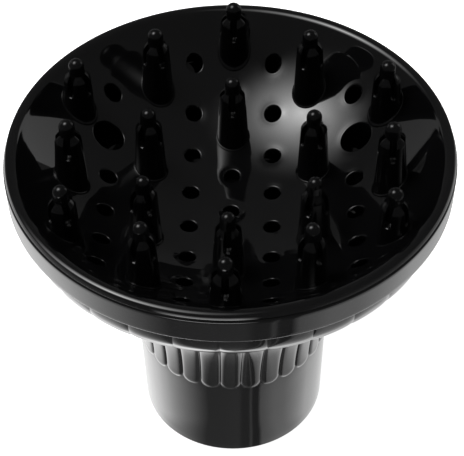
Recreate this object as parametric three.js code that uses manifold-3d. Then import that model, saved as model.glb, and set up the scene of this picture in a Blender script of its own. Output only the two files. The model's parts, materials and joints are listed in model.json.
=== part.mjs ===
// Finger diffuser for a hair dryer, in millimetres, +Z up.
// The origin is the centre of the neck's end face, which is what the diffuser stands on.
import * as THREE from 'three';
import { mergeVertices } from 'three/addons/utils/BufferGeometryUtils.js';
import Module from 'manifold-3d';

const wasm = await Module();
wasm.setup();
const { Manifold, Mesh: ManifoldMesh } = wasm;

// ---------------------------------------------------------------- driving dimensions
const GAP = 0.3; // clearance between pieces that touch
const RADIAL_STEPS = 48; // facets round the large turned pieces
const SMALL_STEPS = 8; // facets round the fingers and the small holes

// Heights of the main stations.
const RIM_Z = 134;
const SKIRT_TOP_Z = 131.5;
const SKIRT_END_Z = 120.6;
const BELLY_Z = 113.5;
const PETAL_END_Z = 40;

// Outer shell.
const WALL = 2.2;
const NECK_END_R = 36;
const NECK_TOP_R = 37.2;
const SKIRT_TOP_R = 82.7;
const SKIRT_BEVEL = 0.6;
const SKIRT_END_R = 82;
const BELLY_TOP_R = 78.5;
const BELLY_R = 78.3;
const BELLY_CORNER_R = 3.8;
const BELLY_CORNER_H = 7.2;
const RIM_BORE_R = 79.6;
const RIM_BORE_Z = 124.5;
const PETALS = 30;
const PETAL_RISE = 0.9;
const PETAL_ROUND = 3.8;
const PETAL_SWEEP = THREE.MathUtils.degToRad(4.5);

// Neck mouth and the seat of the grip inside it.
const MOUTH_R = 32.2;
const MOUTH_H = 3;
const GRIP_SEAT_R = 34.2;
const GRIP_SEAT_TOP_Z = 14;

// Dish.
const DISH_R = 77.5;
const DISH_DEPTH = 32.4;
const DISH_LOW_Z = RIM_Z - 1.3 - DISH_DEPTH;
const DISH_BEND = 0.64; // share of the depth that rises with the square of the radius
const DISH_WALL = 2;
const LIP_R = 82.3;
const SPIGOT_END_Z = 126;
const SPIGOT_WALL = 1.8;

// Vent holes stand on a triangular grid, apart from the places where the fingers are.
const GRID = 17.85;
const VENT_R = 3.1;
const VENT_STEPS = [0, 1, 3, 7, 9, 13]; // squared distances from the middle, in grid steps
const BIG_VENT_R = 5.7;
const BIG_VENT_RING_R = 54.6;
const BIG_VENT_ANGLES = [30, 150, 270];

// Fingers: three rings, each with the radius and the height of the ball ends' centres.
const FINGER_RINGS = [
  { radius: 35.7, ballZ: 132.2, turn: 30 },
  { radius: 58.9, ballZ: 142.8, turn: 0 },
  { radius: 67.2, ballZ: 142.8, turn: 30 },
];
const FINGERS_PER_RING = 6;
const BALL_R = 2.95;
const STEM_BARE = 3.2;
const SHOULDER_R = 5;
const SHOULDER_DROP = 2.9;
const FINGER_TAPER = 0.052;
const FOOT_R = 6.7;
const FOOT_H = 0.8;
const SHANK_R = 4.9;
const FINGER_BORE_R = 3.7;
const SLOT_W = 2.4;
const SLOT_DEPTH = 12.3; // below the ball's centre
const STEM_DEPTH = 9.5; // below the ball's centre, where the stem ends and the bore starts

// Grip: a ring with springy tongues, and the ring that holds it in the neck.
const TONGUES = 8;
const TONGUE_W = 13;
const TONGUE_LENGTH = 12.5;
const TONGUE_RISE = THREE.MathUtils.degToRad(40);
const TONGUE_HINGE_R = 31;
const TONGUE_HINGE_Z = 6.7;
const TONGUE_ROOT_R = 0.8;
const TONGUE_TIP_R = 1;
const GRIP_OUTER_R = GRIP_SEAT_R - GAP;
const GRIP_WALL_R = 32.8;
const GRIP_SHELF_R = 31.4;
const GRIP_SHELF_H = 2.1;
const GRIP_BOTTOM_Z = MOUTH_H + GAP;
const GRIP_TOP_Z = 10;
const RETAINER_R = 32.6;
const RETAINER_H = 2.5;

// ---------------------------------------------------------------- materials
const glossBlack = () => new THREE.MeshStandardMaterial({ color: 0x0c0c0d, roughness: 0.16, metalness: 0 });
const satinBlack = () => new THREE.MeshStandardMaterial({ color: 0x131314, roughness: 0.45, metalness: 0 });
const softBlack = () => new THREE.MeshStandardMaterial({ color: 0x1b1b1d, roughness: 0.8, metalness: 0 });

// ---------------------------------------------------------------- geometry helpers

/** Welds a geometry's corners and drops the triangles that this leaves with no area. */
function weld(geometry) {
  const bare = geometry.index ? geometry.toNonIndexed() : geometry.clone();
  bare.deleteAttribute('normal');
  bare.deleteAttribute('uv');
  const welded = mergeVertices(bare, 1e-4);
  const corners = welded.index.array;
  const kept = [];
  for (let i = 0; i < corners.length; i += 3) {
    const [a, b, c] = [corners[i], corners[i + 1], corners[i + 2]];
    if (a !== b && b !== c && c !== a) kept.push(a, b, c);
  }
  welded.setIndex(kept);
  return welded;
}

function toSolid(geometry) {
  const welded = weld(geometry);
  return new Manifold(new ManifoldMesh({
    numProp: 3,
    vertProperties: new Float32Array(welded.attributes.position.array),
    triVerts: new Uint32Array(welded.index.array),
  }));
}

function toGeometry(solid) {
  const mesh = solid.getMesh();
  const geometry = new THREE.BufferGeometry();
  geometry.setAttribute('position', new THREE.BufferAttribute(new Float32Array(mesh.vertProperties), 3));
  geometry.setIndex(Array.from(mesh.triVerts));
  geometry.computeVertexNormals();
  return geometry;
}

/** Turns an outline of [radius, height] points about Z. The outline runs anticlockwise. */
function turned(outline, steps = RADIAL_STEPS) {
  const points = outline.map(([radius, height]) => new THREE.Vector2(radius, height));
  const onAxis = points[0].x === 0 && points.at(-1).x === 0;
  if (!onAxis) points.push(points[0].clone());
  return new THREE.LatheGeometry(points, steps).rotateX(Math.PI / 2);
}

function upright(radius, lowZ, highZ, steps) {
  const height = highZ - lowZ;
  return new THREE.CylinderGeometry(radius, radius, height, steps)
    .rotateX(Math.PI / 2)
    .translate(0, 0, lowZ + height / 2);
}

/** Points on a quarter ellipse from the angle `from` to the angle `to`, in degrees. */
function arc(centreR, centreZ, halfW, halfH, from, to, steps) {
  const points = [];
  for (let i = 0; i <= steps; i += 1) {
    const angle = THREE.MathUtils.degToRad(from + ((to - from) * i) / steps);
    points.push([centreR + halfW * Math.cos(angle), centreZ + halfH * Math.sin(angle)]);
  }
  return points;
}

function named(name, geometry, material) {
  const mesh = new THREE.Mesh(geometry, material);
  mesh.name = name;
  return mesh;
}

const twoDigits = (number) => String(number).padStart(2, '0');

// ---------------------------------------------------------------- outer shell

/** The shell's outside from the neck to the belly: [radius, height] at the petals' grooves. */
function bellCurve() {
  return new THREE.CubicBezierCurve(
    new THREE.Vector2(NECK_TOP_R, PETAL_END_Z + PETAL_ROUND),
    new THREE.Vector2(38.5, 78),
    new THREE.Vector2(52, 88),
    new THREE.Vector2(BELLY_R - BELLY_CORNER_R, BELLY_Z - BELLY_CORNER_H),
  );
}

/** Rows of the fluted wall, each with its outward direction and its share of the sweep. */
function flutedRows() {
  const curve = bellCurve();
  const steps = 7;
  const rows = [];
  for (let i = 0; i <= steps; i += 1) {
    const at = curve.getPoint(i / steps);
    const along = curve.getTangent(i / steps);
    rows.push({ radius: at.x, height: at.y, outR: along.y, outZ: -along.x, sweep: i / steps });
  }
  rows.push({ radius: BELLY_R, height: BELLY_Z, outR: 1, outZ: 0, sweep: 1 });
  rows.push({ radius: BELLY_TOP_R, height: SKIRT_END_Z, outR: 1, outZ: 0, sweep: 1 });
  return rows;
}

/** Rows of [radius, height] inside the shell, from the rim down to the mouth. */
function innerRows() {
  const curve = bellCurve();
  const steps = 5;
  const rows = [
    [RIM_BORE_R, SKIRT_TOP_Z],
    [RIM_BORE_R, RIM_BORE_Z],
    [BELLY_TOP_R - WALL, SKIRT_END_Z],
    [BELLY_R - WALL, BELLY_Z + 1],
  ];
  for (let i = steps; i >= 0; i -= 1) {
    const at = curve.getPoint(i / steps);
    const along = curve.getTangent(i / steps);
    rows.push([at.x - WALL * along.y, at.y + WALL * along.x]);
  }
  rows.push([GRIP_SEAT_R, GRIP_SEAT_TOP_Z], [GRIP_SEAT_R, MOUTH_H], [MOUTH_R, MOUTH_H], [MOUTH_R, 0]);
  return rows;
}

/** One ring of corners: each petal has a groove and a crown, so it takes two steps. */
function ring({ radius, height, outR = 0, outZ = 0, sweep = 0 }) {
  const corners = [];
  for (let step = 0; step < PETALS * 2; step += 1) {
    const rise = step % 2 === 1 ? PETAL_RISE : 0;
    const angle = (Math.PI * step) / PETALS + sweep * PETAL_SWEEP;
    const r = radius + rise * outR;
    corners.push(new THREE.Vector3(r * Math.cos(angle), r * Math.sin(angle), height + rise * outZ));
  }
  return corners;
}

/** Joins closed rings of corners, the last to the first, into one tube-like surface. */
function ringSurface(rings) {
  const count = rings[0].length;
  const positions = rings.flat().flatMap((corner) => corner.toArray());
  const index = [];
  rings.forEach((_, row) => {
    const next = (row + 1) % rings.length;
    for (let step = 0; step < count; step += 1) {
      const after = (step + 1) % count;
      const [a, b] = [row * count + step, row * count + after];
      const [c, d] = [next * count + step, next * count + after];
      index.push(a, b, d, a, d, c);
    }
  });
  const geometry = new THREE.BufferGeometry();
  geometry.setAttribute('position', new THREE.Float32BufferAttribute(positions, 3));
  geometry.setIndex(index);
  return geometry;
}

function outerShell() {
  const plain = ([radius, height, sweep = 0]) => ring({ radius, height, sweep });
  const rings = [
    plain([NECK_END_R, 0]),
    plain([NECK_TOP_R, PETAL_END_Z]),
    ...flutedRows().map(ring),
    plain([SKIRT_END_R, SKIRT_END_Z, 1]),
    plain([SKIRT_TOP_R, SKIRT_TOP_Z - SKIRT_BEVEL, 1]),
    plain([SKIRT_TOP_R - SKIRT_BEVEL, SKIRT_TOP_Z, 1]),
    ...innerRows().map(plain),
  ];
  return named('outer_shell', toGeometry(toSolid(ringSurface(rings))), glossBlack());
}

// ---------------------------------------------------------------- dish

function dishZ(radius) {
  const share = radius / DISH_R;
  return DISH_LOW_Z + DISH_DEPTH * (DISH_BEND * share ** 2 + (1 - DISH_BEND) * share ** 4);
}

/** The dish's hollow face, or a face parallel to it, from the outside in. */
function dishFace(shift, outerR = DISH_R, steps = 6) {
  const points = [];
  for (let i = 0; i <= steps; i += 1) {
    const radius = outerR * (1 - i / steps);
    points.push([radius, dishZ(radius) + shift]);
  }
  return points;
}

function dishBlank() {
  const spigotR = RIM_BORE_R - GAP;
  const seatZ = SKIRT_TOP_Z + GAP;
  const spigotInR = spigotR - SPIGOT_WALL;
  return toSolid(turned([
    ...dishFace(-DISH_WALL, spigotInR).reverse(),
    [spigotInR, SPIGOT_END_Z],
    [spigotR, SPIGOT_END_Z],
    [spigotR, seatZ],
    [LIP_R, seatZ],
    [LIP_R, RIM_Z - 0.8],
    [LIP_R - 0.8, RIM_Z],
    [DISH_R + 1.1, RIM_Z],
    ...dishFace(0),
  ]));
}

/** Grid places inside the dish, with their distance from the centre in grid steps, squared. */
function gridPlaces() {
  const places = [];
  for (let column = -4; column <= 4; column += 1) {
    for (let row = -4; row <= 4; row += 1) {
      const x = (GRID * Math.sqrt(3) * column) / 2;
      const y = GRID * (row + (Math.abs(column) % 2) / 2);
      places.push({ x, y, steps: Math.round((x * x + y * y) / GRID ** 2) });
    }
  }
  return places;
}

/** Holes through the dish: vents on the grid, then the large vents, each over one of them. */
function ventTools() {
  const tools = gridPlaces()
    .filter(({ steps }) => VENT_STEPS.includes(steps))
    .map(({ x, y }) => toSolid(upright(VENT_R, 90, RIM_Z + 10, SMALL_STEPS).translate(x, y, 0)));
  for (const angle of BIG_VENT_ANGLES) {
    const vent = upright(BIG_VENT_R, 90, RIM_Z + 10, 12).translate(BIG_VENT_RING_R, 0, 0);
    tools.push(toSolid(vent.rotateZ(THREE.MathUtils.degToRad(angle))));
  }
  return tools;
}

function socketTools() {
  return FINGER_RINGS.flatMap(({ radius, turn }) => fingerAngles(turn).map((angle) => {
    const socket = upright(SHANK_R + GAP, 90, RIM_Z + 10, SMALL_STEPS).translate(radius, 0, 0);
    return toSolid(socket.rotateZ(angle));
  }));
}

function fingerDish() {
  const cuts = [...ventTools(), ...socketTools()];
  const solid = cuts.reduce((left, cut) => left.subtract(cut), dishBlank());
  return named('finger_dish', toGeometry(solid), glossBlack());
}

// ---------------------------------------------------------------- fingers

function fingerAngles(turn) {
  const angles = [];
  for (let i = 0; i < FINGERS_PER_RING; i += 1) {
    angles.push(THREE.MathUtils.degToRad(turn + (360 / FINGERS_PER_RING) * i));
  }
  return angles;
}

/** Everything below the dish's face, raised by `shift`: it trims a finger's foot. */
function belowDish(shift) {
  return toSolid(turned([[0, 80], [DISH_R, 80], ...dishFace(shift)]));
}

/** Outside of a finger at the origin, from `footZ` up to its ball end. */
function fingerBlank(ballZ, footZ) {
  const shoulderZ = ballZ - STEM_BARE - SHOULDER_DROP;
  const footR = SHOULDER_R + (shoulderZ - footZ) * FINGER_TAPER;
  const shoulder = arc(BALL_R, shoulderZ, SHOULDER_R - BALL_R, SHOULDER_DROP, 0, 90, 2);
  const ball = arc(0, ballZ, BALL_R, BALL_R, 0, 90, 3).map(([r, z], i) => [i === 3 ? 0 : r, z]);
  return toSolid(turned([[0, footZ], [footR, footZ], ...shoulder, ...ball], SMALL_STEPS));
}

/** Four slots that part the shoulder into lobes and open the bore beside the stem. */
function slotTools(ballZ) {
  const height = SLOT_DEPTH;
  const reach = SHOULDER_R;
  return [0, 1, 2, 3].map((quarter) => toSolid(
    new THREE.BoxGeometry(reach, SLOT_W, height)
      .translate(BALL_R + reach / 2, 0, ballZ - height / 2)
      .rotateZ((quarter * Math.PI) / 2),
  ));
}

/** A finger of one ring, standing on the +X side of the dish. */
function fingerSolid({ radius, ballZ }) {
  const footZ = dishZ(radius) - 9;
  const shankEndZ = dishZ(radius - SHANK_R) - DISH_WALL - 1.2;
  const ceilingZ = ballZ - STEM_DEPTH;
  const seatFace = belowDish(GAP).translate([-radius, 0, 0]);
  const collar = toSolid(upright(FOOT_R, footZ, ballZ, SMALL_STEPS))
    .intersect(belowDish(GAP + FOOT_H).translate([-radius, 0, 0]));
  const standing = fingerBlank(ballZ, footZ).add(collar).subtract(seatFace);
  const shank = toSolid(upright(SHANK_R, shankEndZ, ceilingZ, SMALL_STEPS));
  const bore = toSolid(upright(FINGER_BORE_R, shankEndZ - 1, ceilingZ, SMALL_STEPS));
  return slotTools(ballZ).reduce((left, cut) => left.subtract(cut), standing.add(shank).subtract(bore));
}

function fingers() {
  const meshes = [];
  for (const place of FINGER_RINGS) {
    const geometry = toGeometry(fingerSolid(place));
    for (const angle of fingerAngles(place.turn)) {
      const finger = named(`finger_${twoDigits(meshes.length + 1)}`, geometry.clone(), glossBlack());
      finger.position.set(place.radius * Math.cos(angle), place.radius * Math.sin(angle), 0);
      finger.rotation.z = angle;
      meshes.push(finger);
    }
  }
  return meshes;
}

// ---------------------------------------------------------------- grip in the neck

function gripRing() {
  const shelfTop = GRIP_BOTTOM_Z + GRIP_SHELF_H;
  return named('grip_ring', weld(turned([
    [GRIP_SHELF_R, GRIP_BOTTOM_Z],
    [GRIP_OUTER_R, GRIP_BOTTOM_Z],
    [GRIP_OUTER_R, GRIP_TOP_Z],
    [GRIP_WALL_R, GRIP_TOP_Z],
    [GRIP_WALL_R, shelfTop],
    [GRIP_SHELF_R, shelfTop],
  ])), softBlack());
}

function gripRetainer() {
  const lowZ = GRIP_TOP_Z + GAP;
  return named('grip_retainer', weld(turned([
    [RETAINER_R, lowZ],
    [GRIP_OUTER_R, lowZ],
    [GRIP_OUTER_R, lowZ + RETAINER_H],
    [RETAINER_R, lowZ + RETAINER_H],
  ])), satinBlack());
}

/** Side view of a tongue, drawn about its hinge: a strap between its root roll and its tip roll. */
function tongueOutline() {
  const acrossUp = Math.PI / 2 - TONGUE_RISE;
  const tipR = -TONGUE_LENGTH * Math.cos(TONGUE_RISE);
  const tipZ = TONGUE_LENGTH * Math.sin(TONGUE_RISE);
  const outline = new THREE.Shape();
  outline.absarc(0, 0, TONGUE_ROOT_R, acrossUp - Math.PI, acrossUp, false);
  outline.absarc(tipR, tipZ, TONGUE_TIP_R, acrossUp, acrossUp + Math.PI, false);
  outline.closePath();
  return outline;
}

function gripTongues() {
  const strap = new THREE.ExtrudeGeometry(tongueOutline(), { depth: TONGUE_W, bevelEnabled: false, curveSegments: 3 })
    .rotateX(Math.PI / 2)
    .translate(0, TONGUE_W / 2, 0);
  const meshes = [];
  for (let i = 0; i < TONGUES; i += 1) {
    const angle = (2 * Math.PI * i) / TONGUES;
    const tongue = named(`grip_tongue_${twoDigits(i + 1)}`, weld(strap), softBlack());
    tongue.position.set(TONGUE_HINGE_R * Math.cos(angle), TONGUE_HINGE_R * Math.sin(angle), TONGUE_HINGE_Z);
    tongue.rotation.z = angle;
    meshes.push(tongue);
  }
  return meshes;
}

// ---------------------------------------------------------------- assembly
const diffuser = new THREE.Group();
diffuser.add(outerShell(), fingerDish(), ...fingers(), gripRing(), gripRetainer(), ...gripTongues());

export default diffuser;
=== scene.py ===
# Finger diffuser for a hair dryer: fine surfaces, materials, studio and camera round the CAD frame.
# Lengths are in metres, +Z up, with the origin at the centre of the neck's open end.
import json
import math

import bmesh
import bpy
from mathutils import Matrix, Vector
from mathutils.geometry import delaunay_2d_cdt


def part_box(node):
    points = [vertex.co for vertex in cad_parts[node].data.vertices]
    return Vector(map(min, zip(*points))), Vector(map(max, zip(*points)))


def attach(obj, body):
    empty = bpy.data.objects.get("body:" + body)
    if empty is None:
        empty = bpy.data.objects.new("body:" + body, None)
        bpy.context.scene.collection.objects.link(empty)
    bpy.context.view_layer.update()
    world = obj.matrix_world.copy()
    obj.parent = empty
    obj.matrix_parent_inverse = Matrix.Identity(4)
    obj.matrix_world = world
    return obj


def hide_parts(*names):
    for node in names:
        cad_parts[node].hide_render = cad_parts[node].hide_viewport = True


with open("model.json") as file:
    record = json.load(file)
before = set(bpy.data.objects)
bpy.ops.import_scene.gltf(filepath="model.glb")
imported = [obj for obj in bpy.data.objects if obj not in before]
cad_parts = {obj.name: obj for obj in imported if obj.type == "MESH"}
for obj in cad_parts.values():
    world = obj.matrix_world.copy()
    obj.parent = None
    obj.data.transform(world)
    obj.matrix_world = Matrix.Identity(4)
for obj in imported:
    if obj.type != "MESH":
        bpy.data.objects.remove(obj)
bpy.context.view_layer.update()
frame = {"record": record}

MM = 0.001
TURN = 2 * math.pi

# ---------------------------------------------------------------- sizes from the frame
RIM_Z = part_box("finger_dish")[1].z
SKIRT_TOP_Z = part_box("outer_shell")[1].z
SKIRT_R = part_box("outer_shell")[1].x - 0.03 * MM  # just inside the CAD model's outline
MASTER = "diffuser"  # the body that everything but the tongues belongs to

# Outer shell.
SKIRT_END_Z = SKIRT_TOP_Z - 10.9 * MM
SKIRT_END_R = SKIRT_R - 0.35 * MM
SKIRT_ROUND = 0.9 * MM
SKIRT_UNDER_ROUND = 0.7 * MM
BELLY_Z = SKIRT_TOP_Z - 21.8 * MM
BELLY_TOP_R = 78.5 * MM
BELLY_R = 78.3 * MM
BELLY_ROUND = 12 * MM
NECK_END_R = 36 * MM
NECK_TOP_R = 37.2 * MM
PETAL_END_Z = 40 * MM
FLUTE_START_Z = PETAL_END_Z - 0.4 * MM  # just under the petals' tips
PETAL_ROUND = 4.3 * MM
BELL_START_Z = 43.8 * MM
WALL = 2.2 * MM
RIM_BORE_R = 79.6 * MM
RIM_BORE_Z = 124.5 * MM
MOUTH_R = 32.2 * MM
MOUTH_H = 3 * MM
GRIP_SEAT_R = 34.2 * MM
GRIP_SEAT_TOP_Z = 14 * MM

PETALS = 30
PETAL_STEPS = 20
PETAL_SWEEP = math.radians(4.5)
NECK_RISE = 0.8 * MM
BAND_RISE = 0.36 * MM

# Dish.
DISH_R = 77.5 * MM
DISH_DEPTH = 32.4 * MM
DISH_EDGE_DROP = 1.3 * MM  # from the lip's top to the dish's edge
DISH_LOW_Z = RIM_Z - DISH_EDGE_DROP - DISH_DEPTH
DISH_BEND = 0.64  # share of the depth that rises with the square of the radius
DISH_WALL = 2 * MM
DISC_R = 74.4 * MM  # the perforated part, inside the plain rim
LIP_R = 82.28 * MM
LIP_TOP_R = 80.2 * MM
LIP_DOME = 3.4 * MM  # radius of its rounded top
LIP_DOME_SPAN = (-47, 25)  # degrees of that arc, from its inner end to its outer end
LIP_SEAT_Z = SKIRT_TOP_Z + 0.3 * MM
SPIGOT_R = 79.3 * MM
SPIGOT_IN_R = 77.5 * MM
SPIGOT_END_Z = 126 * MM
RIM_STEPS = 360

GRID = 17.85 * MM
VENT_R = 3.1 * MM
BIG_VENT_R = 5.6 * MM
BIG_VENT_RING_R = 54.6 * MM
BIG_VENT_ANGLES = [30, 150, 270]
VENT_STEPS = (0, 1, 3, 7, 9, 13)  # squared distances of the vents from the middle, in grid steps
SOCKET_R = 5.2 * MM
VENT_ROUND = 0.45 * MM
VENT_SINK = 0.1 * MM  # how far the dish's face dips towards a vent
SINK_REACH = 2.4 * MM

# Fingers: radius of each ring, height of its ball ends' centres, and its first angle.
FINGER_RINGS = [
    (35.7 * MM, 132.2 * MM, 30),
    (58.9 * MM, 142.8 * MM, 0),
    (67.2 * MM, 142.8 * MM, 30),
]
FINGERS_PER_RING = 6
BALL_R = 2.95 * MM
STEM_BARE = 3.2 * MM
SHOULDER_R = 5 * MM
SHOULDER_DROP = 2.9 * MM
SHOULDER_SLOPE = 0.9  # where it leaves the stem
FINGER_TAPER = 0.052  # growth of the radius with the depth below the shoulder
FOOT_R = 6.62 * MM
FOOT_H = 0.55 * MM
FOOT_ROUND = 0.4 * MM
SHANK_R = 4.9 * MM
FINGER_BORE_R = 3.7 * MM
SLOT_HALF = 1.2 * MM
SLOT_DEPTH = 12.3 * MM  # below the ball's centre
BORE_DEPTH = 13.5 * MM  # below the ball's centre, where the finger's bore ends
SEAM_HALF = 0.2 * MM  # stands in for SLOT_HALF in a row's plan where the finger has no slot
LOBE_STEP = 0.01 * MM  # least step from a finger's core to its lobes

# Grip.
TONGUE_W = 13 * MM
TONGUE_ROOT_R = 0.8 * MM
TONGUE_TIP_R = 1 * MM
TONGUE_LENGTH = 12.5 * MM
TONGUE_RISE = math.radians(40)
TONGUE_RIBS = 5
TONGUE_RIB_H = 0.22 * MM
TONGUE_EDGE = 0.35 * MM  # width of its rounded side edges


# ---------------------------------------------------------------- curves and outlines
def smoothstep(low, high, value):
    """0 at low and 1 at high, easing in and out between them."""
    share = min(1, max(0, (value - low) / (high - low)))
    return share * share * (3 - 2 * share)


def filleted(corners, steps=5):
    """Points of an outline whose corners are (radius, height, fillet radius), with the fillets as arcs."""
    points = []
    count = len(corners)
    for i, (r, z, fillet) in enumerate(corners):
        here = Vector((r, z))
        if fillet == 0:
            points.append(here)
            continue
        before = (Vector(corners[i - 1][:2]) - here).normalized()
        after = (Vector(corners[(i + 1) % count][:2]) - here).normalized()
        half = before.angle(after) / 2
        centre = here + (before + after).normalized() * fillet / math.sin(half)
        start = here + before * fillet / math.tan(half) - centre
        swing = (here + after * fillet / math.tan(half) - centre).angle_signed(start)
        for step in range(steps + 1):
            points.append(centre + Matrix.Rotation(swing * step / steps, 2) @ start)
    return points


def bezier(points, share):
    """Position and direction on a cubic curve."""
    a, b, c, d = points
    rest = 1 - share
    at = a * rest**3 + b * 3 * rest**2 * share + c * 3 * rest * share**2 + d * share**3
    along = (b - a) * rest**2 + (c - b) * 2 * rest * share + (d - c) * share**2
    return at, along.normalized()


def straight(start, end, steps):
    """Points from start towards end, without the end."""
    return [start.lerp(end, step / steps) for step in range(steps)]


# ---------------------------------------------------------------- mesh making
def smooth_piece(name, mesh, material, body, *nodes):
    """A finished piece from a bmesh: welded, facing out, smooth but for its sharp edges."""
    bmesh.ops.remove_doubles(mesh, verts=mesh.verts, dist=1e-7)
    bmesh.ops.recalc_face_normals(mesh, faces=mesh.faces)
    data = bpy.data.meshes.new(name)
    mesh.to_mesh(data)
    mesh.free()
    data.shade_smooth()
    data.set_sharp_from_angle(angle=math.radians(50))
    data.materials.append(material)
    piece = bpy.data.objects.new(name, data)
    bpy.context.scene.collection.objects.link(piece)
    if body:
        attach(piece, body)
    if nodes:
        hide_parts(*nodes)
    return piece


def add_rows(mesh, rows, loop_rows=False, loop_columns=True):
    """Quads between rows of points. A row of one point is a pole."""
    made = [[mesh.verts.new(point) for point in row] for row in rows]
    pairs = list(zip(made, made[1:]))
    if loop_rows:
        pairs.append((made[-1], made[0]))
    for low, high in pairs:
        count = max(len(low), len(high))
        for i in range(count if loop_columns else count - 1):
            j = (i + 1) % count
            if len(low) == 1:
                mesh.faces.new((low[0], high[j], high[i]))
            elif len(high) == 1:
                mesh.faces.new((low[i], low[j], high[0]))
            else:
                mesh.faces.new((low[i], low[j], high[j], high[i]))
    return made


def circle_row(radius, height, steps):
    """Points round a level circle about the axis."""
    return [
        Vector((radius * math.cos(TURN * i / steps), radius * math.sin(TURN * i / steps), height))
        for i in range(steps)
    ]


def turned_piece(name, corners, material, body, node, steps=240):
    """A piece turned about the axis from the filleted corners of its section."""
    mesh = bmesh.new()
    rows = [circle_row(point.x, point.y, steps) for point in filleted(corners)]
    add_rows(mesh, rows, loop_rows=True)
    return smooth_piece(name, mesh, material, body, node)


# ---------------------------------------------------------------- materials
def new_material(name):
    """A node material, with its nodes and links."""
    material = bpy.data.materials.new(name)
    material.use_nodes = True
    return material, material.node_tree.nodes, material.node_tree.links


def noise(nodes, links, scale, detail=3, rough=0.5):
    """A noise in the piece's own frame, so that it stays put on the surface."""
    place = nodes.new("ShaderNodeTexCoord")
    texture = nodes.new("ShaderNodeTexNoise")
    texture.inputs["Scale"].default_value = scale
    texture.inputs["Detail"].default_value = detail
    texture.inputs["Roughness"].default_value = rough
    links.new(place.outputs["Object"], texture.inputs["Vector"])
    return texture.outputs["Fac"]


def between(nodes, links, factor, low, high):
    """The factor's range, from about 0.3 to 0.7, laid out from low to high."""
    spread = nodes.new("ShaderNodeMapRange")
    spread.inputs["From Min"].default_value = 0.3
    spread.inputs["From Max"].default_value = 0.7
    spread.inputs["To Min"].default_value = low
    spread.inputs["To Max"].default_value = high
    links.new(factor, spread.inputs["Value"])
    return spread.outputs["Result"]


def tinted(nodes, links, factor, dark, light):
    """A colour that drifts from dark to light with the factor."""
    mix = nodes.new("ShaderNodeMix")
    mix.data_type = "RGBA"
    mix.inputs["A"].default_value = (*dark, 1)
    mix.inputs["B"].default_value = (*light, 1)
    links.new(between(nodes, links, factor, 0, 1), mix.inputs["Factor"])
    return mix.outputs["Result"]


def bumped(nodes, links, layers):
    """Bumps stacked on each other, each from (height, strength, depth in metres)."""
    normal = None
    for height, strength, depth in layers:
        bump = nodes.new("ShaderNodeBump")
        bump.inputs["Strength"].default_value = strength
        bump.inputs["Distance"].default_value = depth
        links.new(height, bump.inputs["Height"])
        if normal:
            links.new(normal, bump.inputs["Normal"])
        normal = bump.outputs["Normal"]
    return normal


def moulded_gloss(name, waviness=1.0, smooth=0.02, rough=0.05, ior=1.5):
    """Black injection moulding: mirror gloss with slow waves, fine orange peel and faint handling marks."""
    material, nodes, links = new_material(name)
    shader = nodes["Principled BSDF"]
    shader.inputs["IOR"].default_value = ior
    smudge = noise(nodes, links, 38, 5, 0.62)
    grain = noise(nodes, links, 900, 2)
    colour = tinted(nodes, links, smudge, (0.0022, 0.0022, 0.0024), (0.0042, 0.0042, 0.0045))
    links.new(colour, shader.inputs["Base Color"])
    links.new(between(nodes, links, smudge, smooth, rough), shader.inputs["Roughness"])
    wave = noise(nodes, links, 55, 1)
    normal = bumped(nodes, links, [(wave, 0.12 * waviness, 0.0006), (grain, 0.02, 0.00004)])
    links.new(normal, shader.inputs["Normal"])
    return material


def satin_black(name):
    """Satin moulding with a fine spark-eroded texture."""
    material, nodes, links = new_material(name)
    shader = nodes["Principled BSDF"]
    shader.inputs["IOR"].default_value = 1.5
    texture = noise(nodes, links, 2400, 2)
    patch = noise(nodes, links, 60, 4)
    colour = tinted(nodes, links, patch, (0.011, 0.011, 0.012), (0.018, 0.018, 0.019))
    links.new(colour, shader.inputs["Base Color"])
    links.new(between(nodes, links, texture, 0.34, 0.5), shader.inputs["Roughness"])
    links.new(bumped(nodes, links, [(texture, 0.25, 0.00005)]), shader.inputs["Normal"])
    return material


def soft_rubber(name):
    """Soft black rubber: matt, a little dusty, with a fine skin."""
    material, nodes, links = new_material(name)
    shader = nodes["Principled BSDF"]
    shader.inputs["IOR"].default_value = 1.48
    shader.inputs["Sheen Weight"].default_value = 0.08
    shader.inputs["Sheen Roughness"].default_value = 0.5
    skin = noise(nodes, links, 3200, 3)
    dust = noise(nodes, links, 120, 5, 0.6)
    colour = tinted(nodes, links, dust, (0.014, 0.014, 0.015), (0.03, 0.03, 0.031))
    links.new(colour, shader.inputs["Base Color"])
    links.new(between(nodes, links, dust, 0.55, 0.75), shader.inputs["Roughness"])
    links.new(bumped(nodes, links, [(skin, 0.3, 0.00006)]), shader.inputs["Normal"])
    return material


# ---------------------------------------------------------------- outer shell
# (radius, height) of the control points of the cubic curve up the outside of the bell.
BELL_CURVE = [
    Vector((NECK_TOP_R, BELL_START_Z)),
    Vector((38.5 * MM, 78 * MM)),
    Vector((52 * MM, 88 * MM)),
    Vector((73.8 * MM, 106 * MM)),
]
BELL_STEPS = 64
BELL_INSIDE_STEPS = 32


def fluted_profile():
    """(point, sweep) up the outside, from the plain neck to the skirt's step."""
    profile = []
    start = Vector((NECK_TOP_R, FLUTE_START_Z))
    for point in straight(start, BELL_CURVE[0], 21):
        profile.append((point, 0))
    for i in range(BELL_STEPS + 1):
        profile.append((bezier(BELL_CURVE, i / BELL_STEPS)[0], i / BELL_STEPS))
    corner = [(*BELL_CURVE[3], 0), (BELLY_R, BELLY_Z, BELLY_ROUND), (BELLY_TOP_R, SKIRT_END_Z, 0)]
    belly = filleted(corner, 14)[1:]
    for point in belly[:-1] + straight(belly[-2], belly[-1], 8)[1:] + belly[-1:]:
        profile.append((point, 1))
    return profile


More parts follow.
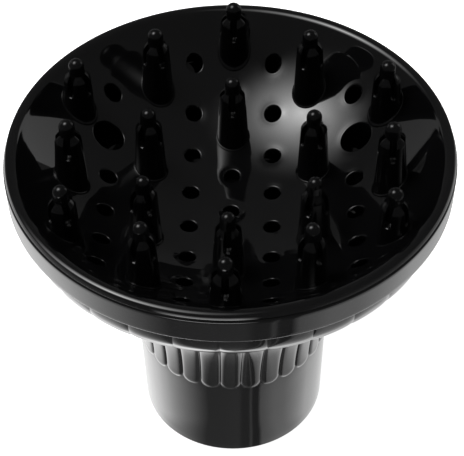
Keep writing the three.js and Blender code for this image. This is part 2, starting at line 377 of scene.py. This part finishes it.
def petal_rise(across, above, height):
    """How far a petal stands out: across runs from -1 to 1 over it, above is the height over its tip."""
    end = max(0, 1 - above / PETAL_ROUND)
    out = math.hypot(across, end)
    if out >= 1:
        return 0
    rise = NECK_RISE + (BAND_RISE - NECK_RISE) * smoothstep(BELL_START_Z, BELLY_Z, height)
    return rise * (0.2 * (1 - out**2) + 0.8 * (1 - out**6))


def shell_row(point, outward, sweep, fluted):
    """One ring round the shell, with a column at every groove and closer columns beside it."""
    row = []
    for petal in range(PETALS):
        for step in range(PETAL_STEPS):
            across = -math.cos(math.pi * step / PETAL_STEPS)
            angle = TURN * (petal + (across + 1) / 2) / PETALS + sweep * PETAL_SWEEP
            rise = petal_rise(across, point.y - PETAL_END_Z, point.y) if fluted else 0
            r = point.x + rise * outward.x
            row.append(Vector((r * math.cos(angle), r * math.sin(angle), point.y + rise * outward.y)))
    return row


def refined(points, pitch):
    """The same outline, with its longer stretches cut into equal steps."""
    fine = [points[0]]
    for start, end in zip(points, points[1:]):
        fine += straight(start, end, math.ceil((end - start).length / pitch))[1:] + [end]
    return fine


def neck_profile():
    """Up the outside of the neck, from its end to the petals' tips."""
    neck = [Vector((NECK_END_R - 1.1 * MM, 0))]
    neck += filleted([(MOUTH_R, 0, 0), (NECK_END_R, 0, 0.7 * MM), (NECK_TOP_R, PETAL_END_Z, 0)], 5)[1:-1]
    return neck + straight(neck[-1], Vector((NECK_TOP_R, FLUTE_START_Z)), 10)[1:]


def skirt_profile():
    """Round the skirt, from its step over its top edge and down the inside to the bell."""
    skirt = filleted([
        (BELLY_TOP_R, SKIRT_END_Z, 0),
        (SKIRT_END_R, SKIRT_END_Z, SKIRT_UNDER_ROUND),
        (SKIRT_R, SKIRT_TOP_Z, SKIRT_ROUND),
        (RIM_BORE_R, SKIRT_TOP_Z, 0.2 * MM),
        (RIM_BORE_R, RIM_BORE_Z, 0),
        (BELLY_TOP_R - WALL, SKIRT_END_Z, 1 * MM),
        (BELLY_R - WALL, BELLY_Z + 1.4 * MM, 2 * MM),
        (BELL_CURVE[3].x - WALL * 0.7, BELL_CURVE[3].y + WALL * 0.8, 0),
    ], 6)[1:-1]
    return refined(skirt, 1.2 * MM)


def bell_inside():
    """(point, sweep) down the inside of the bell, a wall's thickness from its outside."""
    profile = []
    for i in range(BELL_INSIDE_STEPS, -1, -1):
        at, along = bezier(BELL_CURVE, i / BELL_INSIDE_STEPS)
        profile.append((at + WALL * Vector((-along.y, along.x)), i / BELL_INSIDE_STEPS))
    return profile


def mouth_profile():
    """Down the inside of the neck, over the grip's seat and out of the mouth."""
    return filleted([
        (NECK_TOP_R - WALL, BELL_START_Z, 0),
        (GRIP_SEAT_R, GRIP_SEAT_TOP_Z, 0.4 * MM),
        (GRIP_SEAT_R, MOUTH_H, 0.3 * MM),
        (MOUTH_R, MOUTH_H, 0.4 * MM),
        (MOUTH_R, 0, 0.6 * MM),
        (NECK_END_R, 0, 0),
    ], 4)[1:-1]


def outer_shell(material):
    """The shell as one closed surface, up its outside and down its inside."""
    radial = Vector((1, 0))
    rows = [shell_row(point, radial, 0, False) for point in neck_profile()]
    fluted = fluted_profile()
    for i, (point, sweep) in enumerate(fluted):
        before = fluted[max(0, i - 1)][0]
        after = fluted[min(len(fluted) - 1, i + 1)][0]
        along = (after - before).normalized()
        rows.append(shell_row(point, Vector((along.y, -along.x)), sweep, True))
    rows += [shell_row(point, radial, 1, False) for point in skirt_profile()]
    rows += [shell_row(point, radial, sweep, False) for point, sweep in bell_inside()]
    rows += [shell_row(point, radial, 0, False) for point in mouth_profile()]
    mesh = bmesh.new()
    add_rows(mesh, rows, loop_rows=True)
    return smooth_piece("outer_shell_fine", mesh, material, MASTER, "outer_shell")


# ---------------------------------------------------------------- dish
def dish_z(radius):
    """Height of the dish's top face at a radius."""
    share = radius / DISH_R
    return DISH_LOW_Z + DISH_DEPTH * (DISH_BEND * share**2 + (1 - DISH_BEND) * share**4)


def finger_places():
    """(ring number, angle) of each finger, in the order of the nodes' numbers."""
    for ring, (_, _, turn) in enumerate(FINGER_RINGS):
        for i in range(FINGERS_PER_RING):
            yield ring, math.radians(turn + 360 / FINGERS_PER_RING * i)


def dish_holes():
    """(x, y, radius, rounded edge) of each hole: vents on a triangular grid, and the fingers' sockets."""
    holes = []
    for degrees in BIG_VENT_ANGLES:
        angle = math.radians(degrees)
        x = BIG_VENT_RING_R * math.cos(angle)
        y = BIG_VENT_RING_R * math.sin(angle)
        holes.append((x, y, BIG_VENT_R, True))
    big_vents = list(holes)
    for column in range(-4, 5):
        for row in range(-4, 5):
            x = GRID * math.sqrt(3) / 2 * column
            y = GRID * (row + abs(column) % 2 / 2)
            steps = round((x * x + y * y) / GRID**2)
            taken = any(math.hypot(x - big_x, y - big_y) < BIG_VENT_R for big_x, big_y, _, _ in big_vents)
            if steps in VENT_STEPS and not taken:
                holes.append((x, y, VENT_R, True))
    for ring, angle in finger_places():
        radius = FINGER_RINGS[ring][0]
        holes.append((radius * math.cos(angle), radius * math.sin(angle), SOCKET_R, False))
    return holes


def hole_steps(radius):
    """Points round a hole: more on a larger one."""
    return max(32, 8 * round(radius / (0.9 * MM)))


def ring_points(x, y, radius, steps):
    """Plan points round a circle."""
    angles = [TURN * i / steps for i in range(steps)]
    return [(x + radius * math.cos(angle), y + radius * math.sin(angle)) for angle in angles]


def round_drop(gap):
    """How far a vent's rounded edge lies below the dish's face, at a distance from its wall."""
    if gap >= VENT_ROUND:
        return 0
    return VENT_ROUND - math.sqrt(VENT_ROUND**2 - (VENT_ROUND - gap) ** 2)


def face_height(x, y, holes, face):
    """Height of the dish's top face (face 1) or underside (face -1), with the vents' edges rounded."""
    z = dish_z(math.hypot(x, y)) - (0 if face > 0 else DISH_WALL)
    for hole_x, hole_y, radius, rounded in holes:
        if not rounded:
            continue
        gap = math.hypot(x - hole_x, y - hole_y) - radius
        if gap < SINK_REACH:
            sink = VENT_SINK * (1 - smoothstep(0, SINK_REACH, gap)) if face > 0 else 0
            z -= face * round_drop(max(0, gap)) + sink
    return z


def disc_points(holes, face):
    """Plan points of one face, with rings of points round each hole, and the edges that must stay."""
    points = []
    edges = []

    def add_ring(ring, fixed):
        """Add a ring of points, and its edges too if they are fixed."""
        first = len(points)
        points.extend(ring)
        if fixed:
            count = len(ring)
            edges.extend((first + i, first + (i + 1) % count) for i in range(count))

    add_ring(ring_points(0, 0, DISC_R, RIM_STEPS), True)
    edge = [0.06, 0.22, 0.5, 0.8]
    spread = [1.35, 2.2, 3.3, 4.6] if face > 0 else [2]
    for x, y, radius, rounded in holes:
        steps = hole_steps(radius)
        add_ring(ring_points(x, y, radius, steps), True)
        for share in (edge if rounded else []) + [1] + spread:
            add_ring(ring_points(x, y, radius + share * VENT_ROUND, steps), False)
    clear = (spread[-1] + 1.2) * VENT_ROUND
    pitch = 1.7 * MM if face > 0 else 3.4 * MM
    rings = round(DISC_R / pitch)
    for ring in range(rings):
        radius = DISC_R * ring / rings
        around = max(1, 6 * ring)
        for point in ring_points(0, 0, radius, around):
            if all(math.hypot(point[0] - x, point[1] - y) > r + clear for x, y, r, _ in holes):
                points.append(point)
    return points, edges


def add_disc(mesh, holes, face):
    """The perforated face (1 for the top, -1 for the underside), as triangles between its points."""
    points, edges = disc_points(holes, face)
    flat = [Vector(point) for point in points]
    flat, _, triangles, *_ = delaunay_2d_cdt(flat, edges, [], 0, 1e-9)
    made = [mesh.verts.new((*point, face_height(point.x, point.y, holes, face))) for point in flat]
    for triangle in triangles:
        centre = sum((flat[i] for i in triangle), Vector((0, 0))) / 3
        if all(math.hypot(centre.x - x, centre.y - y) > r for x, y, r, _ in holes):
            mesh.faces.new([made[i] for i in triangle])


def add_hole_walls(mesh, holes):
    """The wall of each hole, from the top face to the underside."""
    for x, y, radius, _ in holes:
        ring = ring_points(x, y, radius, hole_steps(radius))
        top = [Vector((*point, face_height(*point, holes, 1))) for point in ring]
        foot = [Vector((*point, face_height(*point, holes, -1))) for point in ring]
        add_rows(mesh, [top, foot])


def rim_profile():
    """Outline of the plain rim, from the disc's top edge over the lip and spigot to its lower edge."""
    upper = [Vector((DISC_R + step * MM, dish_z(DISC_R + step * MM))) for step in range(4)]
    dome = []
    for degrees in range(LIP_DOME_SPAN[0], LIP_DOME_SPAN[1] + 1, 3):
        lean = math.radians(degrees)
        across = LIP_DOME * math.sin(lean)
        drop = LIP_DOME * (1 - math.cos(lean))
        dome.append(Vector((LIP_TOP_R + across, RIM_Z - drop)))
    outline = filleted([
        (*dome[-1], 0),
        (dome[-1].x + 0.14 * MM, dome[-1].y - 0.08 * MM, 0.12 * MM),
        (LIP_R, LIP_SEAT_Z, 0.06 * MM),
        (SPIGOT_R, LIP_SEAT_Z, 0),
        (SPIGOT_R, SPIGOT_END_Z, 0.4 * MM),
        (SPIGOT_IN_R, SPIGOT_END_Z, 0.4 * MM),
        (SPIGOT_IN_R, dish_z(77 * MM) - DISH_WALL, 0.5 * MM),
        (DISC_R, dish_z(DISC_R) - DISH_WALL, 0),
    ], 5)
    return upper + dome + outline[1:]


def finger_dish(material):
    """The dish: two perforated faces, the holes' walls and the rim round them."""
    holes = dish_holes()
    mesh = bmesh.new()
    add_disc(mesh, holes, 1)
    add_disc(mesh, holes, -1)
    add_hole_walls(mesh, holes)
    add_rows(mesh, [circle_row(point.x, point.y, RIM_STEPS) for point in rim_profile()])
    return smooth_piece("finger_dish_fine", mesh, material, MASTER, "finger_dish")


# ---------------------------------------------------------------- fingers
def finger_row(outer, core, slot):
    """Plan of a finger: a core in four slots, each as wide as twice slot, between four lobes."""
    quarter = []
    edge = min(0.35 * MM, (outer - core) / 3)
    slot_core = math.asin(slot / core)
    slot_outer = math.asin(slot / outer)
    for share in (-1, -0.5, 0, 0.5, 1):
        quarter.append((core, slot_core * share))
    wall = []
    for share in (0.4, 0.75):
        radius = core + (outer - edge - core) * share
        wall.append((radius, math.asin(slot / radius)))
    wall.append((outer - edge, math.asin(slot / (outer - edge))))
    wall.append((outer - 0.3 * edge, slot_outer + 0.3 * edge / outer))
    start = slot_outer + edge / outer
    arc = [(outer, start + (math.pi / 2 - 2 * start) * i / 12) for i in range(13)]
    mirrored = [(radius, math.pi / 2 - angle) for radius, angle in reversed(wall)]
    quarter += wall + arc + mirrored
    row = []
    for turn in range(4):
        for radius, angle in quarter:
            around = angle + turn * math.pi / 2
            row.append(Vector((radius * math.cos(around), radius * math.sin(around))))
    return row


def ball_levels(ball_z):
    """Levels of a finger from under its pole down the ball and the bare stem."""
    levels = []
    for step in range(1, 12):
        angle = math.pi / 2 * (1 - step / 11)
        radius = BALL_R * math.cos(angle)
        levels.append((ball_z + BALL_R * math.sin(angle), radius, radius, min(SEAM_HALF, radius / 4)))
    for share in (0.5, 0.9):
        levels.append((ball_z - STEM_BARE * share, BALL_R, BALL_R, SEAM_HALF))
    return levels


def shoulder_levels(shoulder_z):
    """Levels where the lobes grow out of the stem, down to the shoulder's foot."""
    levels = []
    lobe = SHOULDER_R - BALL_R
    for step in range(10):
        share = step / 10
        outer = BALL_R + LOBE_STEP + lobe * (1 - (1 - share) ** 2)
        drop = SHOULDER_SLOPE * lobe * 2 * share * (1 - share) + SHOULDER_DROP * share**2
        levels.append((shoulder_z + SHOULDER_DROP - drop, outer, BALL_R, SLOT_HALF))
    return levels


def slotted_levels(shoulder_z, slot_end):
    """Levels of the slotted body. Each slot closes in a round end."""
    heights = []
    for step in range(9):
        heights.append(shoulder_z + (slot_end + SLOT_HALF - shoulder_z) * step / 9)
    for step in range(9):
        heights.append(slot_end + SLOT_HALF * (1 - step / 8) ** 2)
    levels = []
    for z in heights:
        outer = SHOULDER_R + (shoulder_z - z) * FINGER_TAPER
        over = min(1, (z - slot_end) / SLOT_HALF)
        slot = max(SEAM_HALF, SLOT_HALF * math.sqrt(max(0, 1 - (1 - over) ** 2)))
        core = BALL_R + (outer - LOBE_STEP - BALL_R) * (1 - smoothstep(0, 0.8, over))
        levels.append((z, outer, core, slot))
    return levels


def plain_levels(shoulder_z, slot_end, foot_z):
    """Levels of the plain cone under the slots, down to just over the foot."""
    levels = []
    upper = slot_end - 0.3 * MM
    for step in range(6):
        z = upper + (foot_z + 1.6 * MM - upper) * step / 5
        outer = SHOULDER_R + (shoulder_z - z) * FINGER_TAPER
        levels.append((z, outer, outer, SEAM_HALF))
    return levels


def finger_levels(ball_z, foot_z):
    """(height, outer radius, core radius, half slot) down a finger, from under its pole to its foot."""
    shoulder_z = ball_z - STEM_BARE - SHOULDER_DROP
    slot_end = ball_z - SLOT_DEPTH
    levels = ball_levels(ball_z) + shoulder_levels(shoulder_z)
    return levels + slotted_levels(shoulder_z, slot_end) + plain_levels(shoulder_z, slot_end, foot_z)


def foot_profile(body_r):
    """(radius, height over the dish) round the foot ring, from the body to the shank."""
    profile = [(body_r + 0.03 * MM, FOOT_H + 0.4 * MM), (body_r + 0.1 * MM, FOOT_H + 0.14 * MM)]
    for degrees in range(90, -1, -15):
        lean = math.radians(degrees)
        inward = FOOT_ROUND * (1 - math.cos(lean))
        down = FOOT_ROUND * (1 - math.sin(lean))
        profile.append((FOOT_R - inward, FOOT_H - down))
    return profile + [(FOOT_R, 0.02 * MM), (SHANK_R + 0.05 * MM, 0.02 * MM)]


def shank_profile(shank_end, ceiling):
    """(radius, height) down the shank and up the finger's bore."""
    bevel = 0.2 * MM
    return [
        (SHANK_R, shank_end + bevel),
        (SHANK_R - bevel, shank_end),
        (FINGER_BORE_R + bevel, shank_end),
        (FINGER_BORE_R, shank_end + bevel),
        (FINGER_BORE_R, ceiling),
        (FINGER_BORE_R * 0.6, ceiling + 0.3 * MM),
    ]


def finger_mesh(ring_radius, ball_z):
    """A finger on the +X side of the dish. Its foot follows the dish's face."""
    centre = Vector((ring_radius, 0))
    foot_z = dish_z(ring_radius)
    levels = finger_levels(ball_z, foot_z)
    slot_end = ball_z - SLOT_DEPTH
    rows = [[Vector((ring_radius, 0, ball_z + BALL_R))]]
    for z, outer, core, slot in levels:
        tilt = max(0, (slot_end - z) / (slot_end - foot_z))
        places = [centre + point for point in finger_row(outer, core, slot)]
        rows.append([Vector((at.x, at.y, z + (dish_z(at.length) - foot_z) * tilt)) for at in places])
    for radius, height in foot_profile(levels[-1][1]):
        places = [centre + point for point in finger_row(radius, radius, SEAM_HALF)]
        rows.append([Vector((at.x, at.y, dish_z(at.length) + height)) for at in places])
    shank_end = dish_z(ring_radius - SHANK_R) - DISH_WALL - 1.2 * MM
    ceiling = ball_z - BORE_DEPTH
    for radius, z in shank_profile(shank_end, ceiling):
        rows.append([Vector((*(centre + point), z)) for point in finger_row(radius, radius, SEAM_HALF)])
    rows.append([Vector((ring_radius, 0, ceiling + 0.4 * MM))])
    mesh = bmesh.new()
    add_rows(mesh, rows)
    return mesh


def fingers(material):
    """All the fingers, each turned to its place."""
    for number, (ring, angle) in enumerate(finger_places(), 1):
        radius, ball_z, _ = FINGER_RINGS[ring]
        mesh = finger_mesh(radius, ball_z)
        bmesh.ops.rotate(mesh, verts=mesh.verts, matrix=Matrix.Rotation(angle, 3, "Z"))
        name = f"finger_{number:02d}"
        smooth_piece(name + "_fine", mesh, material, MASTER, name)


# ---------------------------------------------------------------- grip
def grip_ring(material):
    """An L-section ring: a wall with a shelf inside its foot."""
    low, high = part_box("grip_ring")
    outer = high.x
    wall = outer - 1.1 * MM
    shelf = outer - 2.5 * MM
    turned_piece("grip_ring_fine", [
        (shelf, low.z, 0.4 * MM),
        (outer, low.z, 0.3 * MM),
        (outer, high.z, 0.3 * MM),
        (wall, high.z, 0.3 * MM),
        (wall, low.z + 2.1 * MM, 0.3 * MM),
        (shelf, low.z + 2.1 * MM, 0.4 * MM),
    ], material, MASTER, "grip_ring")


def grip_retainer(material):
    """A plain snap ring."""
    low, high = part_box("grip_retainer")
    turned_piece("grip_retainer_fine", [
        (high.x - 1.3 * MM, low.z, 0.3 * MM),
        (high.x, low.z, 0.3 * MM),
        (high.x, high.z, 0.3 * MM),
        (high.x - 1.3 * MM, high.z, 0.3 * MM),
    ], material, MASTER, "grip_retainer")


def tongue_outline():
    """Side of a tongue about its hinge: root roll, plain back, tip roll, and a ribbed face below."""
    along = Vector((-math.cos(TONGUE_RISE), math.sin(TONGUE_RISE)))
    back = Vector((math.sin(TONGUE_RISE), math.cos(TONGUE_RISE)))
    outline = []
    for step in range(13):
        angle = math.pi * step / 12
        outline.append(-back * math.cos(angle) * TONGUE_ROOT_R - along * math.sin(angle) * TONGUE_ROOT_R)
    outline += straight(outline[-1], along * TONGUE_LENGTH + back * TONGUE_TIP_R, 6)[1:]
    for step in range(13):
        angle = math.pi * step / 12
        out = TONGUE_LENGTH + math.sin(angle) * TONGUE_TIP_R
        outline.append(along * out + back * math.cos(angle) * TONGUE_TIP_R)
    steps = 40
    for step in range(1, steps):
        share = step / steps
        thickness = TONGUE_TIP_R + (TONGUE_ROOT_R - TONGUE_TIP_R) * share
        wave = 0.5 - 0.5 * math.cos(TURN * TONGUE_RIBS * share)
        rib = TONGUE_RIB_H * wave * smoothstep(1, 0.7, share)
        outline.append(along * TONGUE_LENGTH * (1 - share) - back * (thickness - rib))
    return outline


def tongue_mesh(outline):
    """A tongue about its hinge, pointing to -X. Its side edges are rounded by shrinking the outline."""
    middle = sum(outline, Vector((0, 0))) / len(outline)
    half = [(1, 1), (0.995, 0.6), (0.98, 0.2), (0.95, 0)]  # (share of the half width, share of the edge)
    rows = []
    for side, inset in [(-share, inset) for share, inset in half] + half[::-1]:
        row = []
        for point in outline:
            at = point + (middle - point).normalized() * TONGUE_EDGE * inset
            row.append(Vector((at.x, side * TONGUE_W / 2, at.y)))
        rows.append(row)
    mesh = bmesh.new()
    made = add_rows(mesh, rows)
    mesh.faces.new(made[0])
    mesh.faces.new(made[-1])
    return mesh


def grip_tongues(material):
    """A tongue at each of the frame's hinges."""
    outline = tongue_outline()
    for joint in frame["record"]["behaviour"]["joints"]:
        number = joint["child"][-2:]
        hinge = Vector(joint["pos_m"])
        place = Matrix.Translation(hinge) @ Matrix.Rotation(math.atan2(hinge.y, hinge.x), 4, "Z")
        mesh = tongue_mesh(outline)
        bmesh.ops.transform(mesh, matrix=place, verts=mesh.verts)
        smooth_piece(f"grip_tongue_{number}_fine", mesh, material, joint["child"], f"grip_tongue_{number}")


# ---------------------------------------------------------------- studio
# Brightness of the ground in reflections, by bearing in degrees: 0 is the front and 90 the right. The
# front is in shade, but for a narrow gleam.
GROUND_GLOW = [
    (-180, 0.8), (-128, 2.35), (-112, 2.65), (-96, 2.45), (-43, 0.55), (-32, 0.25),
    (8, 0.3), (14, 0.18), (22, 0.18), (24.5, 0.5), (27, 0.15), (34, 0.14),
    (38, 0.75), (56, 1.1), (72, 1.1), (112, 1.8), (180, 0.8),
]
# Shares by steepness, in degrees below the horizon, and by bearing.
STEEP_GAIN = [(44, 0.5), (50.5, 1), (68, 1), (82, 1.6)]
GROUND_START = [(20, 0), (42, 1)]
LOW_SPAN = [(10, 0), (16, 1), (30, 1), (40, 0)]
FRONT_SPAN = [(-34, 0), (-22, 1), (4, 1), (14, 0)]
LOW_FRONT_GLOW = 15
WALL_GLOW = 0.12
FLOOR_Z = -0.2 * MM
NEAR_GROUND_R = 34 * MM
NEAR_GROUND_FADE = 8 * MM
NEAR_GROUND_Z = 0.3 * MM
# Height of the black disc of painted shade on the ground inside the neck.
PAINTED_NECK_SHADE_Z = 0.8 * MM
CARD_DISTANCE = 1.2


def glow(name, strength):
    """A white glowing material, with its nodes, links and emission."""
    material, nodes, links = new_material(name)
    nodes.remove(nodes["Principled BSDF"])
    emission = nodes.new("ShaderNodeEmission")
    emission.inputs["Color"].default_value = (1, 1, 1, 1)
    emission.inputs["Strength"].default_value = strength
    links.new(emission.outputs["Emission"], nodes["Material Output"].inputs["Surface"])
    return material, nodes, links, emission


def distance_from_middle(nodes, links):
    """Distance of a point of a piece from the piece's own origin."""
    place = nodes.new("ShaderNodeTexCoord")
    length = nodes.new("ShaderNodeVectorMath")
    length.operation = "LENGTH"
    links.new(place.outputs["Object"], length.inputs[0])
    return length.outputs["Value"]


def level_disc(name, material, radius, height):
    """A round piece of the ground, level and centred on the axis."""
    mesh = bmesh.new()
    bmesh.ops.create_circle(mesh, cap_ends=True, segments=64, radius=radius)
    disc = smooth_piece(name, mesh, material, None)
    disc.location.z = height
    return disc


def floor():
    """A plain pale floor. Reflections see the room's glow in its place."""
    material, nodes, _ = new_material("floor_white")
    shader = nodes["Principled BSDF"]
    shader.inputs["Base Color"].default_value = (0.86, 0.86, 0.86, 1)
    shader.inputs["Roughness"].default_value = 0.9
    shader.inputs["Specular IOR Level"].default_value = 0.1
    shader.inputs["Emission Color"].default_value = (1, 1, 1, 1)
    shader.inputs["Emission Strength"].default_value = 1.0
    mesh = bmesh.new()
    bmesh.ops.create_grid(mesh, x_segments=8, y_segments=8, size=4)
    plane = smooth_piece("floor", mesh, material, None)
    plane.location.z = FLOOR_Z
    plane.visible_glossy = False


def lamp_card(name, direction, distance, size, strength, fade):
    """A glowing round card facing the object. A higher fade gathers its light in the middle."""
    material, nodes, links, emission = glow(name + "_glow", strength)
    inward = nodes.new("ShaderNodeMapRange")
    inward.inputs["From Min"].default_value = size
    inward.inputs["From Max"].default_value = 0
    links.new(distance_from_middle(nodes, links), inward.inputs["Value"])
    level = math_node(nodes, links, "POWER", inward.outputs["Result"], fade)
    level = math_node(nodes, links, "MULTIPLY", level, strength)
    links.new(math_node(nodes, links, "ADD", level, WALL_GLOW), emission.inputs["Strength"])
    mesh = bmesh.new()
    bmesh.ops.create_circle(mesh, cap_ends=True, segments=48, radius=size)
    card = smooth_piece(name, mesh, material, None)
    card.location = direction * distance + Vector((0, 0, 0.12))
    card.rotation_mode = "QUATERNION"
    card.rotation_quaternion = (-direction).to_track_quat("Z", "Y")
    card.visible_camera = False


def aim(azimuth, elevation):
    """Direction towards a light. Azimuth 0 is the back (+Y) and 90 is the right (+X)."""
    a, e = math.radians(azimuth), math.radians(elevation)
    return Vector((math.sin(a) * math.cos(e), math.cos(a) * math.cos(e), math.sin(e)))


def side_card(name, azimuth, width, low, high, strength):
    """An upright glowing card beside the object."""
    material = glow(name + "_glow", strength)[0]
    mesh = bmesh.new()
    corners = [(-width / 2, 0, low), (width / 2, 0, low), (width / 2, 0, high), (-width / 2, 0, high)]
    mesh.faces.new([mesh.verts.new(corner) for corner in corners])
    card = smooth_piece(name, mesh, material, None)
    card.location = aim(azimuth, 0) * CARD_DISTANCE
    card.rotation_euler.z = -math.radians(azimuth)
    card.visible_camera = False


def math_node(nodes, links, operation, *values):
    """A number worked out from numbers and other nodes' outputs."""
    node = nodes.new("ShaderNodeMath")
    node.operation = operation
    for socket, value in zip(node.inputs, values):
        if isinstance(value, (int, float)):
            socket.default_value = value
        else:
            links.new(value, socket)
    return node.outputs["Value"]


def ramp(nodes, links, value, low, high, top, stops):
    """A grey that follows (place, level) stops as the value runs from low to high. No level passes top."""
    share = nodes.new("ShaderNodeMapRange")
    share.inputs["From Min"].default_value = low
    share.inputs["From Max"].default_value = high
    links.new(value, share.inputs["Value"])
    colours = nodes.new("ShaderNodeValToRGB")
    elements = colours.color_ramp.elements
    elements.remove(elements[1])
    for place, level in stops:
        element = elements.new((place - low) / (high - low))
        element.color = (level / top, level / top, level / top, 1)
    elements.remove(elements[0])
    links.new(share.outputs["Result"], colours.inputs["Fac"])
    return math_node(nodes, links, "MULTIPLY", colours.outputs["Color"], top)


def bearing(nodes, links, axes):
    """Bearing in degrees of a direction's axes: 0 is the front and 90 the right."""
    front = math_node(nodes, links, "MULTIPLY", axes.outputs["Y"], -1)
    return math_node(nodes, links, "DEGREES", math_node(nodes, links, "ARCTAN2", axes.outputs["X"], front))


def glow_by_bearing(nodes, links, axes):
    """Brightness of the ground in a direction."""
    return ramp(nodes, links, bearing(nodes, links, axes), -180, 180, 3, GROUND_GLOW)


def painted_neck_shade():
    """Painted shade: a black disc on the ground inside the neck, where the part shuts out the light."""
    material, nodes, _ = new_material("painted_neck_shade_black")
    nodes["Principled BSDF"].inputs["Base Color"].default_value = (0.002, 0.002, 0.002, 1)
    nodes["Principled BSDF"].inputs["Specular IOR Level"].default_value = 0
    disc = level_disc("painted_neck_shade", material, MOUTH_R + 1 * MM, PAINTED_NECK_SHADE_Z)


def near_ground():
    """The shaded ground in front of the neck, which only reflections see. Its edge fades out."""
    material, nodes, links, emission = glow("near_ground_glow", 1)
    place = nodes.new("ShaderNodeTexCoord")
    axes = nodes.new("ShaderNodeSeparateXYZ")
    links.new(place.outputs["Object"], axes.inputs["Vector"])
    links.new(glow_by_bearing(nodes, links, axes), emission.inputs["Strength"])
    fade = nodes.new("ShaderNodeMapRange")
    fade.interpolation_type = "SMOOTHSTEP"
    fade.inputs["From Min"].default_value = NEAR_GROUND_R - NEAR_GROUND_FADE
    fade.inputs["From Max"].default_value = NEAR_GROUND_R
    links.new(distance_from_middle(nodes, links), fade.inputs["Value"])
    clear = nodes.new("ShaderNodeBsdfTransparent")
    mix = nodes.new("ShaderNodeMixShader")
    links.new(fade.outputs["Result"], mix.inputs["Fac"])
    links.new(emission.outputs["Emission"], mix.inputs[1])
    links.new(clear.outputs["BSDF"], mix.inputs[2])
    links.new(mix.outputs["Shader"], nodes["Material Output"].inputs["Surface"])
    disc = level_disc("near_ground", material, NEAR_GROUND_R, NEAR_GROUND_Z)
    disc.location.y = -NECK_END_R / 2
    disc.visible_camera = False
    disc.visible_diffuse = False
    disc.visible_shadow = False


def room_glow(nodes, links):
    """Brightness of the room in a direction: dim walls, and a ground that glows by its place."""
    place = nodes.new("ShaderNodeTexCoord")
    axes = nodes.new("ShaderNodeSeparateXYZ")
    links.new(place.outputs["Generated"], axes.inputs["Vector"])
    down = math_node(nodes, links, "MULTIPLY", axes.outputs["Z"], -1)
    steepness = math_node(nodes, links, "DEGREES", math_node(nodes, links, "ARCSINE", down))
    steep_gain = ramp(nodes, links, steepness, 0, 90, 2, STEEP_GAIN)
    ground = math_node(nodes, links, "MULTIPLY", glow_by_bearing(nodes, links, axes), steep_gain)
    front = ramp(nodes, links, bearing(nodes, links, axes), -180, 180, 1, FRONT_SPAN)
    low = ramp(nodes, links, steepness, 0, 90, 1, LOW_SPAN)
    low_front = math_node(nodes, links, "MULTIPLY", front, low)
    low_front = math_node(nodes, links, "MULTIPLY", low_front, LOW_FRONT_GLOW)
    level = nodes.new("ShaderNodeMix")
    links.new(ramp(nodes, links, steepness, 0, 90, 1, GROUND_START), level.inputs["Factor"])
    level.inputs["A"].default_value = WALL_GLOW
    links.new(math_node(nodes, links, "ADD", ground, low_front), level.inputs["B"])
    return level.outputs["Result"]


def room():
    """The room that reflections see, and a pale backdrop past the floor for the camera."""
    world = bpy.data.worlds.new("room")
    bpy.context.scene.world = world
    world.use_nodes = True
    nodes, links = world.node_tree.nodes, world.node_tree.links
    walls = nodes["Background"]
    walls.inputs["Color"].default_value = (1, 1, 1, 1)
    links.new(room_glow(nodes, links), walls.inputs["Strength"])
    backdrop = nodes.new("ShaderNodeBackground")
    backdrop.inputs["Color"].default_value = (0.95, 0.95, 0.95, 1)
    ray = nodes.new("ShaderNodeLightPath")
    mix = nodes.new("ShaderNodeMixShader")
    links.new(ray.outputs["Is Camera Ray"], mix.inputs["Fac"])
    links.new(walls.outputs["Background"], mix.inputs[1])
    links.new(backdrop.outputs["Background"], mix.inputs[2])
    links.new(mix.outputs["Shader"], nodes["World Output"].inputs["Surface"])


def studio():
    """Floor, room and lights."""
    floor()
    painted_neck_shade()
    near_ground()
    room()
    lamp_card("key_light", aim(-80, 66), distance=1.6, size=1.04, strength=12.5, fade=2.7)
    side_card("left_card", azimuth=-56, width=0.5, low=0.15, high=0.8, strength=0.42)
    side_card("right_card", azimuth=53, width=0.5, low=0.15, high=0.8, strength=0.8)
    bpy.context.scene.view_settings.view_transform = "Standard"


# ---------------------------------------------------------------- camera
CAMERA_LENS = 138.8
CAMERA_SENSOR = 36
CAMERA_PLACE = (0.0155, -0.4737, 0.5806)
CAMERA_ANGLES = (-1.84, 45.92, -0.846)  # azimuth, downward tilt and roll, in degrees


def camera():
    """A long lens that looks down on the dish from the front."""
    data = bpy.data.cameras.new("camera")
    data.sensor_width = CAMERA_SENSOR
    data.lens = CAMERA_LENS
    azimuth, elevation, roll = (math.radians(angle) for angle in CAMERA_ANGLES)
    forward = Vector((
        math.sin(azimuth) * math.cos(elevation),
        math.cos(azimuth) * math.cos(elevation),
        -math.sin(elevation),
    ))
    right = Vector((math.cos(azimuth), -math.sin(azimuth), 0))
    turn = Matrix.Rotation(-roll, 3, forward)
    right = turn @ right
    up = right.cross(forward)
    body = bpy.data.objects.new("camera", data)
    bpy.context.scene.collection.objects.link(body)
    place = Matrix((right, up, -forward)).transposed().to_4x4()
    place.translation = CAMERA_PLACE
    body.matrix_world = place
    bpy.context.scene.camera = body


# ---------------------------------------------------------------- assembly
shell_gloss = moulded_gloss("shell_gloss")
dish_gloss = moulded_gloss("dish_gloss", waviness=1.4)
finger_gloss = moulded_gloss("finger_gloss", waviness=0.8, smooth=0.13, rough=0.2, ior=1.36)
rubber = soft_rubber("grip_rubber")
satin = satin_black("retainer_satin")

outer_shell(shell_gloss)
finger_dish(dish_gloss)
fingers(finger_gloss)
grip_ring(rubber)
grip_tongues(rubber)
grip_retainer(satin)
studio()
camera()
